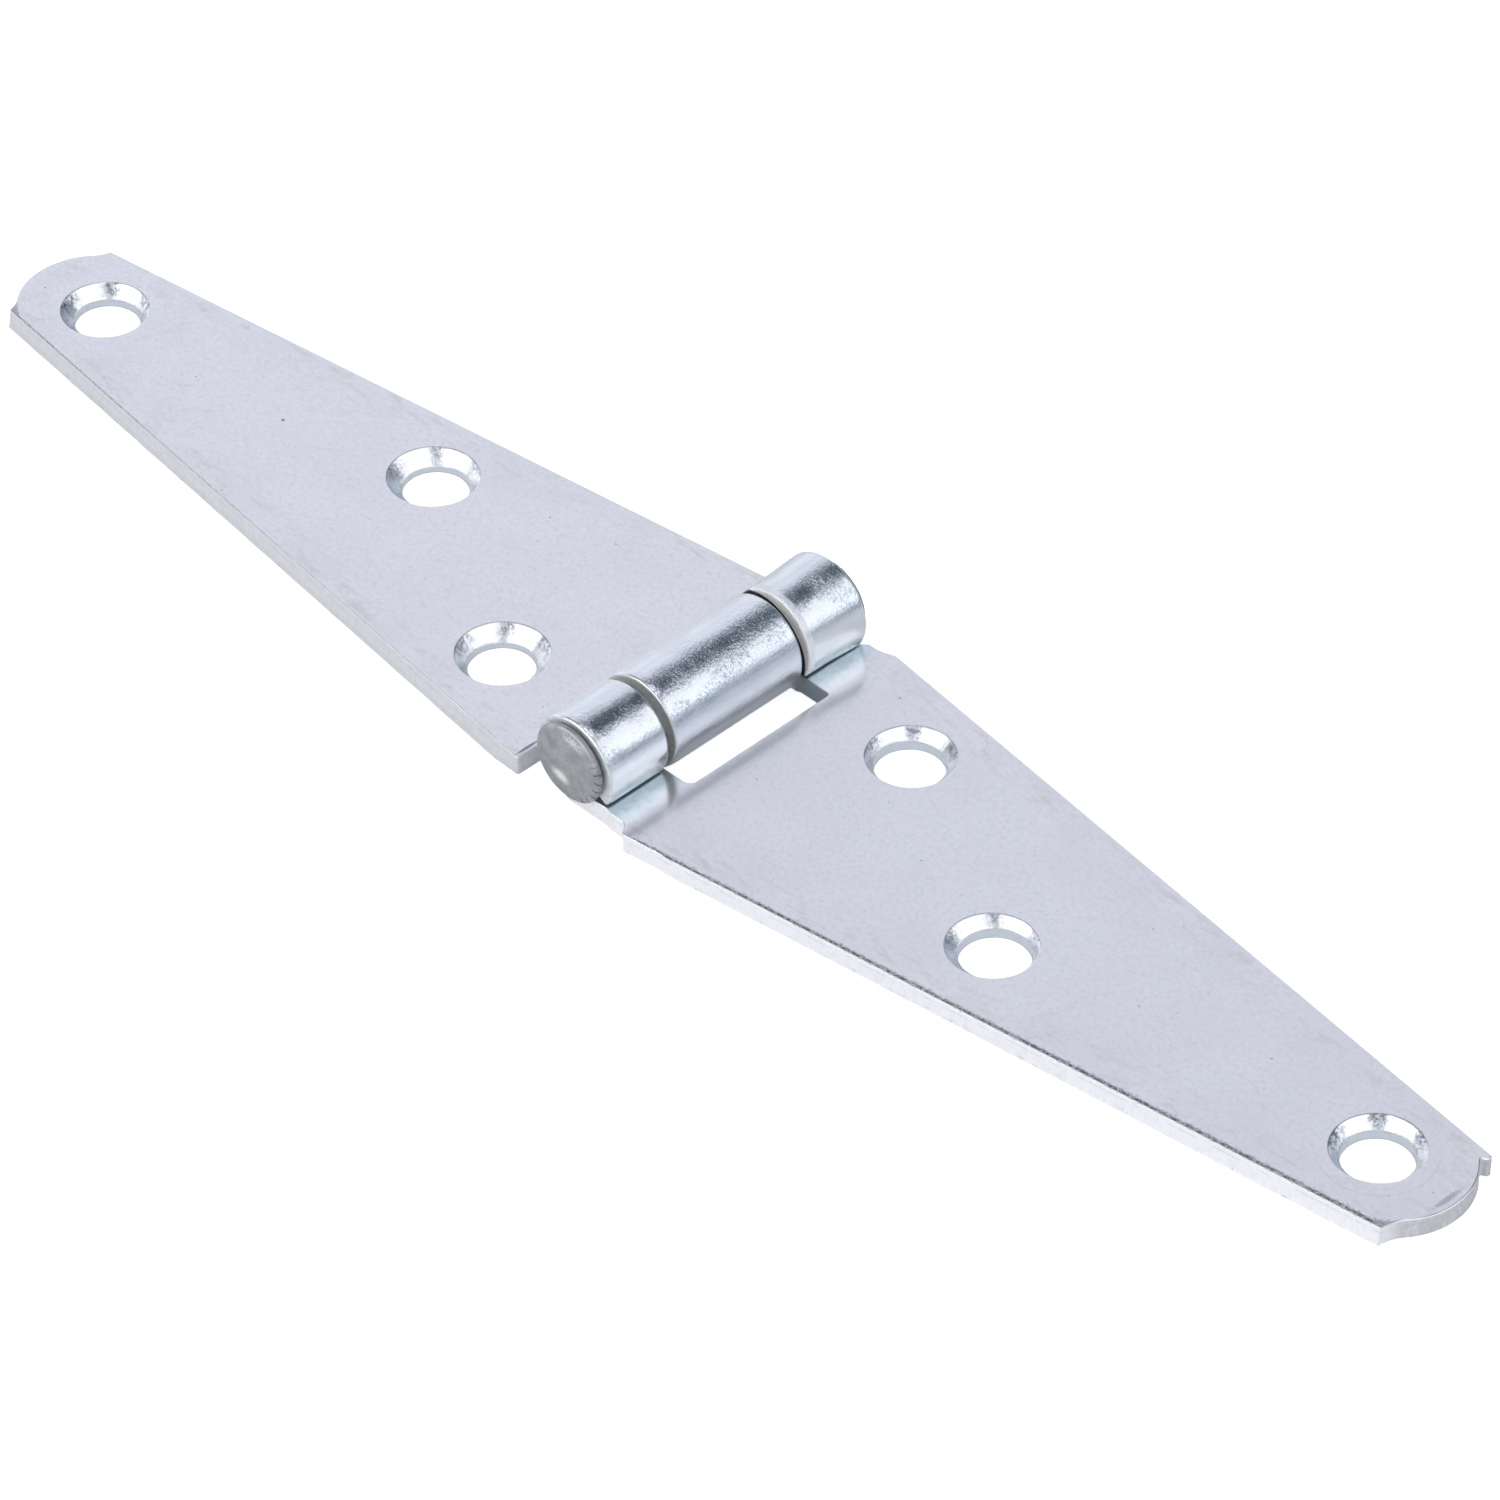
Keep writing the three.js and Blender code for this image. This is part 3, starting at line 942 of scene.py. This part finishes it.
def edge_stains(g, at, look, base):
    """Yellow-grey staining that keeps to the edges in broken patches, over a wide faint tone."""
    patch = at.grain_space.stretched(0.35, 1.0, 1.0).noise(scale=0.9, detail=4.0, rough=0.65)
    stain = at.inset.window((0.1, 0.7), (3.4, 0.9)) * patch.ramp(start=0.50, end=0.68)
    broad = at.grain_space.noise(scale=0.3, detail=3.0, rough=0.6).ramp(start=0.42, end=0.62)
    wide = at.inset.ramp(start=7.5, end=1.0) * broad
    base = base.paint(colour=(0.60, 0.585, 0.55), amount=at.flat * (stain * 0.42))
    return base.paint(colour=(0.73, 0.745, 0.745), amount=at.flat * (wide * 0.20))


# Specks: cell scale, size noise where specks start and are full, largest radius, amount
SPECKS = ((0.95, 0.54, 0.74, 0.115, 0.62), (2.3, 0.50, 0.72, 0.10, 0.30))


def specks(g, at, look, base):
    for scale, start, full, radius, amount in SPECKS:
        cell = at.grain_space.cells(scale)
        size = at.grain_space.noise(scale=0.8 * scale, detail=1.0).ramp(start, full)
        speck = (cell - size * radius).ramp(start=0.02, end=-0.02)
        base = base.paint(colour=(0.33, 0.34, 0.38), amount=speck * amount)
    return base


# Hairlines: cell scale, bend, width, noise level where they start to show, amount
HAIRLINES = (
    (0.105, 3.0, 0.0055, 0.50, 0.17), (0.24, 1.6, 0.009, 0.53, 0.15), (0.6, 1.0, 0.014, 0.58, 0.12),
)


def hairlines(g, at, look, base):
    """Gently curved handling scratches, broken up."""
    for scale, bendy, width, level, amount in HAIRLINES:
        warp = at.grain_space.noise(scale=2.2 * scale, output="Color")
        warp = warp.vector("SUBTRACT", (0.5, 0.5, 0.5)).scaled(bendy)
        warped = at.grain_space.stretched(1.0, 1.0, 0.0).vector("ADD", warp)
        line = warped.cells(scale, feature="DISTANCE_TO_EDGE")
        shown = at.grain_space.noise(scale=0.5 + 1.5 * scale).ramp(level, level + 0.08)
        scratch = (line.ramp(start=width, end=0.0) * shown) * (at.flat * amount)
        base = base.paint(colour=(0.45, 0.46, 0.50), amount=scratch)
    return base


def single_marks(g, at, look, base):
    """Marks of this one leaf."""
    for mark_x, mark_y, half_length, half_width, degrees, ragged, amount, colour in look.marks:
        c, s = math.cos(math.radians(degrees)), math.sin(math.radians(degrees))
        dx, dy = at.x - mark_x, at.y - mark_y
        u = (dx * c + dy * s) / half_length
        v = (dy * c - dx * s) / half_width
        brush = g.combine(u * 3.0, v * 1.5, 0.0).noise(scale=2.0, detail=3.0, rough=0.7)
        distance = g.hypot(u, v) + (brush - 0.5) * ragged
        base = base.paint(colour, amount=distance.ramp(start=1.15, end=0.55) * amount)
    return base


# Painted dark reflections on the cones: middle and half width in degrees, amount
PAINTED_CONE_REFLECTIONS = ((-70, 26, 0.95), (5, 13, 0.90), (73, 17, 0.80))


def countersinks(g, at, look, base):
    """Bright cones, with a painted bluer reflection on the left as the camera sees them, and dark
    patches.

    The patches are reflections painted as colour, placed for the camera's direction; the shade on the
    far side of the rim and at the bottom of the land is painted too.
    """
    cone = at.cone
    turn_x, turn_y, hole_number = at.turn.split()
    turn_x = turn_x * float(look.side)
    away = turn_x * -0.708 + turn_y * 0.706    # from the camera, towards -X +Y
    right = turn_x * 0.706 + turn_y * 0.708    # to its right, towards +X +Y
    phi = g.math("ARCTAN2", right, away) * DEGREES
    phi = phi + (at.grain_space.noise(scale=0.9) - 0.5) * 34.0  # ragged by some degrees
    base = base.paint(colour=(0.97, 0.975, 0.985), amount=cone * 0.9)
    # painted bluer reflection on the left of the cone as the camera sees it
    blue = cone * phi.window((-62, -98), (-175, -140))
    base = base.paint(colour=(0.60, 0.645, 0.71), amount=blue)
    # patches fade low in the cone and in the middle hole
    dim = at.z.ramp(start=0.75, end=1.55, low=0.30)
    dim = dim * abs(hole_number - 3.4).ramp(start=0.5, end=3.0, low=0.62)
    for middle, half, amount in PAINTED_CONE_REFLECTIONS:
        patch = abs(phi - float(middle)).ramp(start=1.25 * half, end=0.35 * half)
        soft = (cone * patch) * (dim * (0.50 * amount))
        base = base.paint(colour=(0.50, 0.52, 0.57), amount=soft)
        # painted dark reflections, broken up by the chatter noise
        rough = (cone * patch) * (dim * at.chatter.ramp(start=0.47, end=0.56, high=amount))
        base = base.paint(colour=(0.16, 0.17, 0.21), amount=rough)
    # painted shade on the far side of the rim as the camera sees it
    rim = at.hole.window((0.02, 0.35), (0.98, 0.65))
    rim = rim * (away + (at.chatter - 0.5) * 2.0).ramp(start=-0.7, end=0.5)
    base = base.paint(colour=(0.22, 0.22, 0.25), amount=rim * 0.45)
    base = base.paint(colour=(0.86, 0.90, 0.94), amount=at.land)
    # painted shade along the bottom of the land
    return base.paint(
        colour=(0.36, 0.39, 0.43), amount=at.land * at.z.ramp(start=0.10, end=0.03)
    )


def root_reflection(g, at, look, base):
    """Painted blue-grey reflection of the knuckles on the roots of the rolled strips, on the slotted
    leaf only.
    """
    if not look.slotted:
        return base
    at.root = (at.x + at.cloud * 2.0).ramp(start=7.4, end=4.6) * (
        at.x.ramp(start=0.0, end=0.8) * at.off_axis.ramp(start=6.8, end=7.4)
    )
    # painted reflection of the knuckles, with mottling
    base = base.paint(colour=(0.74, 0.84, 0.88), amount=at.root * 0.85)
    mottle = at.root * at.fine.ramp(start=0.45, end=0.62, high=0.5)
    return base.paint(colour=(0.56, 0.68, 0.74), amount=mottle)


def dark_lip_reflection(g, at, look, base):
    """A dark line where the -Y side rolls over: painted dark reflection, with rough worn patches along
    it.
    """
    ragged = at.grain_space.stretched(1.2, 2.0, 1.0).noise(scale=2.2, detail=4.0, rough=0.7)
    depth = (at.inset + look.lip_shift) + (ragged - 0.5) * look.lip_ragged
    at.lip = (
        depth.ramp(start=1.5 * look.worn, end=0.4 * look.worn) * at.y.ramp(start=-3.5, end=-5.0)
    ) * at.x.window((5.5, 9.0), (74.6, 73.8))
    return base.paint(colour=(0.30, 0.29, 0.30), amount=at.lip * 0.60)


def end_ring(g, at, look, base):
    """A ring round the end hole, showing on its +X -Y side of the blank."""
    ring_x, ring_y, ring_r = 68.75, 0.2, 4.45  # the middle lies at y = -ring_y
    dx, dy = at.x - ring_x, at.y + ring_y
    ring = abs(g.hypot(dx, dy) - ring_r).ramp(start=0.13, end=0.02)
    ring = ring * (dx - dy).ramp(start=-1.0, end=3.0)
    ring = ring * at.fine.ramp(start=0.35, end=0.6, low=0.4)
    return base.paint(colour=(0.40, 0.42, 0.46), amount=ring * look.ring)


def slot_shade_and_highlight(g, at, edge):
    """Painted shade on the walls of the slot, and a painted highlight on the inner end of the +Y
    knuckle.
    """
    # painted shade on the slot walls
    slot = at.x.window((2.2, 2.6), (6.5, 6.2)) * at.off_axis.ramp(start=8.0, end=7.8)
    edge = edge.paint(colour=(0.22, 0.28, 0.31), amount=slot * 0.85)
    # painted highlight: the inner end of the +Y knuckle made pale, though it lies in the gap
    at.pale = at.roll * at.y.window((7.0, 7.2), (8.2, 8.0))
    edge = edge.paint(colour=(0.99, 0.97, 0.93), amount=at.pale)
    # painted shade deep in the gap beside it, where the middle knuckle hides it from view
    shade_angle, shade_depth = 50.0, 1.27
    deep = g.math("COSINE", (at.theta - shade_angle) * (math.pi / 180)) * shade_depth
    deep = (at.z - deep).ramp(start=-0.19, end=-0.10)
    return edge.paint(colour=(0.02, 0.025, 0.03), amount=at.pale * deep)


def sheared_edges(g, at, look, base):
    """Sheared edges, greyer and greenish on the ends of the knuckles."""
    shear = at.grain_space.stretched(3.0, 3.0, 1.2).noise(scale=1.0, detail=3.0, rough=0.6)
    # look.edge is painted light: the same sheared edge, lit brighter on the slotted leaf and shaded
    # darker on the other
    edge = g.mix(shear.ramp(start=0.35, end=0.7), look.edge, shade(look.edge, 0.93))
    ends = g.mix(shear.ramp(start=0.3, end=0.7), (0.70, 0.72, 0.70), (0.86, 0.865, 0.84))
    edge = edge.paint(colour=ends, amount=at.roll)
    tip = at.x.ramp(start=73.9, end=74.8, high=0.85) * shear.ramp(start=0.25, end=0.6, low=0.55)
    edge = edge.paint(colour=(0.56, 0.56, 0.57), amount=tip)
    if look.slotted:
        edge = slot_shade_and_highlight(g, at, edge)
    # a wavering seam at the height where the break starts
    seam_z = 1.17 + at.grain_space.noise(scale=0.35) * 0.12
    seam = abs(at.z - seam_z).ramp(start=0.05, end=0.01)
    seam = (seam * at.flat) * at.grain_space.noise(scale=0.7).ramp(start=0.40, end=0.55)
    edge = edge.paint(colour=(0.42, 0.40, 0.42), amount=seam * 0.45)
    lower = at.z.ramp(start=0.62, end=0.42) * look.lower_edge
    edge = edge.paint(colour=(0.52, 0.51, 0.50), amount=lower)
    nicks = at.grain_space.stretched(1.6, 1.6, 1.3).noise(scale=1.0, detail=3.0, rough=0.7)
    nicks = at.z.ramp(start=0.75, end=0.1) * nicks.ramp(start=0.54, end=0.68)
    edge = edge.paint(colour=(0.50, 0.49, 0.50), amount=nicks * 0.50)
    return base.paint(colour=edge, amount=at.wall)


def zinc_roughness(at, look):
    rough = at.roll.pick(off=0.18, on=0.062)
    rough = at.pits.pick(off=rough, on=0.24)
    worn = at.grain_space.noise(scale=3.2, detail=3.0, rough=0.7).ramp(start=0.44, end=0.60)
    rough = (at.lip * worn).pick(off=rough, on=0.60)
    rough = at.cone.pick(off=rough, on=0.16)
    rough = at.land.pick(off=rough, on=0.34)
    if look.slotted:
        rough = at.root.pick(off=rough, on=0.27)
    return at.wall.pick(off=rough, on=0.42)


def zinc_relief(g, at, look):
    """Spangle and wipe marks on the roll, grit on the edges, tool marks down the cones."""
    space = at.grain_space
    zone = space.noise(scale=0.35, detail=1.0).ramp(start=0.3, end=0.7, low=0.65, high=1.25)
    spangle = space.noise(scale=4.2, detail=3.0, rough=0.7)
    swell = space.noise(scale=1.3)
    wipe = space.stretched(0.5, 7.0, 1.0).noise(scale=1.0, detail=3.0, rough=0.6)
    height = (spangle * (1.25 * look.spangle) + swell * 0.8) * zone + wipe * 0.12
    grit = space.noise(scale=5.0, detail=3.0, rough=0.7)
    height = at.wall.pick(off=height * at.roll.pick(off=0.02, on=1.0), on=grit * 0.9)
    rays = at.turn.stretched(7.0, 7.0, 3.0).noise(scale=1.0, detail=4.0, rough=0.7)
    return g.bump(height + at.cone * (rays * 0.5 + at.chatter * 0.9))


ZINC_LAYERS = (
    frost, roll_bands, edge_stains, specks, hairlines, single_marks, countersinks,
    root_reflection, dark_lip_reflection, end_ring, sheared_edges,
)


def zinc(name, look):
    """Bright zinc plating: mirror-like under a slight haze, spangled where it was rolled."""
    material, g = new_material(name)
    at = zinc_places(g, look)
    base = plating(g, at, look)
    for layer in ZINC_LAYERS:
        base = layer(g, at, look, base)
    metallic = at.wall.pick(off=1.0, on=at.roll.pick(off=0.3, on=0.75))
    if look.slotted:
        metallic = at.pale.pick(off=metallic, on=0.15)
    normal = zinc_relief(g, at, look)
    clear = g.metal(base, metallic, zinc_roughness(at, look), normal)
    haze = g.metal(base, metallic, roughness=0.55, normal=normal)
    haze_share = at.roll.pick(off=0.20, on=0.085)
    shader = g.add("ShaderNodeMixShader", {0: haze_share, 1: clear, 2: haze})
    g.node("ShaderNodeOutputMaterial", {0: shader})
    return material


DARK, GREY = (0.16, 0.16, 0.19), (0.40, 0.41, 0.45)

# side: sign of x on the part; slotted: has the slot between two knuckles; plate, edge: colours, the
# edge one painted light, brighter on the slotted leaf and darker on the other;
# spangle: relief on the roll; frosted, dusk, brim, ring, lower_edge: amounts of those tones, dusk being
# painted shade and brim a painted dark reflection;
# worn, lip_shift, lip_ragged: width, shift and raggedness of the worn line, painted dark as a
# reflection.
# marks: x, y, half length, half width, turn in degrees, raggedness, amount, colour
LOOK_TWO = SimpleNamespace(
    # edge: painted brighter, as lit
    side=1, seed=1.0, slotted=True, plate=(0.855, 0.845, 0.876), edge=(0.975, 0.955, 0.965),
    spangle=1.0, frosted=0.62, dusk=0.05, brim=0.30, ring=0.17, lower_edge=0.0,
    worn=0.30, lip_shift=0.33, lip_ragged=1.5,
    marks=[
        (75.42, -0.3, 1.6, 0.26, 88, 2.6, 0.7, GREY),
        (41.4, 5.7, 0.12, 0.10, 0, 0.6, 0.6, GREY),
    ],
)
LOOK_ONE = SimpleNamespace(
    # edge: painted darker, as shaded
    side=-1, seed=2.0, slotted=False, plate=(0.878, 0.865, 0.894), edge=(0.735, 0.73, 0.735),
    spangle=1.3, frosted=0.78, dusk=0.30, brim=0.50, ring=0.0, lower_edge=0.22,
    worn=0.14, lip_shift=0.0, lip_ragged=0.6,
    marks=[
        (47.95, 0.6, 0.16, 0.15, 0, 0.3, 0.85, DARK),
        (5.75, -12.9, 1.3, 0.17, 90, 1.2, 0.8, DARK),
    ],
)


# ------------------------------------------------------------------ steel of the pin

def painted_highlight_patch(g, x, z, fine):
    """A painted highlight: a long tilted warm patch on the -Y head."""
    add_x, add_z = 0.75, -2.85          # bring the patch's middle to 0
    c, s = 0.95, -0.31                  # its tilt
    half_length, half_width = 0.95, 0.42
    u = (x + add_x) * c + (z + add_z) * s
    v = (z + add_z) * c - (x + add_x) * s
    distance = g.math("SQRT", (u / half_length) ** 2.0 + (v / half_width) ** 2.0)
    return (distance + (fine - 0.5) * 1.0).ramp(start=1.5, end=0.2)


def steel(name):
    """Dull peened steel, with a painted highlight arc and patch, and painted shade round the rim."""
    material, g = new_material(name)
    place = g.coordinates("Object").scaled(1000.0)
    x, _, z = place.split()
    head_z = ROLL_R + HEAD_RAISED
    fine = place.noise(scale=5.0, detail=4.0, rough=0.65)
    cloud = place.noise(scale=0.9)
    base = g.mix(cloud.ramp(start=0.3, end=0.7), (0.39, 0.39, 0.40), (0.54, 0.54, 0.55))
    base = base.paint(colour=(0.34, 0.34, 0.35), amount=fine.ramp(start=0.42, end=0.75) * 0.6)
    # distance from the middle of the -Y head, and radians round it
    radius = g.math("SQRT", (x + HEAD_ASIDE) ** 2.0 + (z - head_z) ** 2.0)
    turn = g.math("ARCTAN2", z - head_z, x + HEAD_ASIDE)
    # painted highlight: a brighter arc inside the upper rim
    arc = turn.window((0.75, 1.15), (1.85, 1.55)) * radius.window((2.1, 2.6), (3.3, 3.0))
    arc = arc * (fine + cloud * 0.3).ramp(start=0.52, end=0.68)
    base = base.paint(colour=(0.92, 0.92, 0.92), amount=arc * 0.8)
    # dark in the crimp marks low on the +X side
    ticks = g.math("MAXIMUM", g.math("SINE", turn * 25.0 + cloud * 5.0), 0.0) ** 5.0
    ticks = ticks * turn.window((-1.75, -1.2), (0.62, 0.30))
    ticks = ticks * (radius + (fine + cloud) * 0.7).ramp(start=3.42, end=3.72)
    base = base.paint(colour=(0.10, 0.10, 0.11), amount=ticks * 0.85)
    # painted shade round the rim, where the head meets the knuckle end
    base = base.paint(colour=(0.22, 0.22, 0.23), amount=radius.ramp(start=3.28, end=3.42) * 0.35)
    # painted highlight, warm and bright
    base = base.paint(colour=(1.0, 0.97, 0.90), amount=painted_highlight_patch(g, x, z, fine))
    roughness = fine.ramp(start=0.2, end=0.8, low=0.34, high=0.5)
    shader = g.metal(base, metallic=0.9, roughness=roughness, normal=g.bump(fine))
    g.node("ShaderNodeOutputMaterial", {0: shader})
    return material


leaf_two.data.materials.append(zinc("zinc_plate_two", LOOK_TWO))
leaf_one.data.materials.append(zinc("zinc_plate_one", LOOK_ONE))
pin.data.materials.append(steel("bare_pin_steel"))


# ------------------------------------------------------------------ studio

FLOOR_HALF = 1.6                # metres
FLOOR_Z = -0.02


def pale_floor():
    """Overexposed to the camera but not to the metal that mirrors it."""
    material, g = new_material("pale_floor")
    cloud = g.coordinates("Object").scaled(6.0).noise(scale=1.0)
    seen = g.add("ShaderNodeLightPath", {}, "Is Camera Ray")
    shader = g.add("ShaderNodeBsdfPrincipled", {
        "Base Color": g.mix(cloud, (0.80, 0.80, 0.80), (0.82, 0.82, 0.82)),
        "Roughness": 0.9,
        "Specular IOR Level": 0.1,
        "Emission Color": (1, 1, 1, 1),
        "Emission Strength": seen * 0.74,
    })
    g.node("ShaderNodeOutputMaterial", {0: shader})
    return material


def build_floor():
    mesh = bpy.data.meshes.new("studio_floor")
    s, z = FLOOR_HALF, FLOOR_Z * MM
    mesh.from_pydata([(-s, -s, z), (s, -s, z), (s, s, z), (-s, s, z)], [], [[0, 1, 2, 3]])
    floor = bpy.data.objects.new("studio_floor", mesh)
    bpy.context.scene.collection.objects.link(floor)
    mesh.materials.append(pale_floor())


# Soft light cards in the world, in degrees: azimuth from +X towards +Y, half width, its softness,
# lower and upper elevation, their softness; then colour and strength
CARDS = [
    (148, 29.2, 3.5, -12, 53.8, 2.5, (1.00, 1.005, 1.08), 0.74),
    (-170, 15, 5, -12, 22, 5, (1.00, 1.0, 1.03), 0.90),
    (-103, 38, 6, 0, 50, 4, (1.0, 1.0, 1.02), 1.68),
    (13, 54, 4, 12, 60, 3, (1.0, 1.01, 1.04), 1.06),
    (-52, 12, 6, 12, 54, 5, (1.0, 1.0, 1.04), 0.30),
    (-160, 24, 6, 44, 66, 4, (1.0, 0.98, 1.0), 0.08),
]


def build_world():
    world = bpy.data.worlds.new("studio")
    bpy.context.scene.world = world
    world.use_nodes = True
    g = Graph(world.node_tree)
    direction = g.add(
        "ShaderNodeVectorMath", {0: g.coordinates("Generated")}, operation="NORMALIZE"
    )
    x, y, z = direction.split()
    elevation = g.math("ARCSINE", z) * DEGREES
    level = g.math("SQRT", g.math("MAXIMUM", x * x + y * y, 1e-6))

    # dim surround, darker above, with a bright top
    horizon, overhead = (0.33, 0.39, 0.455), (0.05, 0.075, 0.105)
    light = g.mix(elevation.ramp(start=8, end=40), horizon, overhead)
    top = elevation.ramp(start=70, end=78, high=2.4)
    light = light.vector("ADD", g.combine(1.0, 1.0, 1.03).scaled(top))
    for azimuth, half, soft, low, high, soft_ends, colour, strength in CARDS:
        c, s = math.cos(math.radians(azimuth)), math.sin(math.radians(azimuth))
        cosine = (x * c + y * s) / level
        cosine = g.math("MINIMUM", g.math("MAXIMUM", cosine, -1.0), 1.0)
        card = (g.math("ARCCOSINE", cosine) * DEGREES).ramp(half + soft, half - soft)
        card = card * elevation.ramp(low - soft_ends, low + soft_ends)
        card = card * elevation.ramp(high + soft_ends, high - soft_ends)
        light = light.vector("ADD", g.combine(*colour).scaled(card * strength))
    background = g.add("ShaderNodeBackground", {"Color": light, "Strength": 1.0})
    g.node("ShaderNodeOutputWorld", {0: background})


# Camera: degrees from -Y towards +X, above the floor, and of roll; then where it aims
AZIMUTH, ELEVATION, CAMERA_ROLL = 45.1072, 41.1163, 0.0407
TARGET = (4.8889, 0.2055, 0)
DISTANCE = 598.5868


def build_camera():
    azimuth, elevation, roll = (math.radians(v) for v in (AZIMUTH, ELEVATION, CAMERA_ROLL))
    back = Vector((
        math.sin(azimuth) * math.cos(elevation),
        -math.cos(azimuth) * math.cos(elevation),
        math.sin(elevation),
    ))
    level_right = Vector((math.cos(azimuth), math.sin(azimuth), 0))
    level_up = back.cross(level_right)
    right = level_right * math.cos(roll) + level_up * math.sin(roll)
    up = level_up * math.cos(roll) - level_right * math.sin(roll)
    data = bpy.data.cameras.new("camera")
    camera = bpy.data.objects.new("camera", data)
    bpy.context.scene.collection.objects.link(camera)
    data.sensor_width = 36
    data.lens = 189.5964
    data.clip_start, data.clip_end = 0.01, 10  # metres
    place = Vector(TARGET) * MM + back * DISTANCE * MM
    rows = [(right[i], up[i], back[i], place[i]) for i in range(3)]
    camera.matrix_world = Matrix((*rows, (0, 0, 0, 1)))
    bpy.context.scene.camera = camera


build_floor()
build_world()
build_camera()
view = bpy.context.scene.view_settings
view.view_transform = "Standard"
view.look = "None"
view.exposure = 0
view.gamma = 1
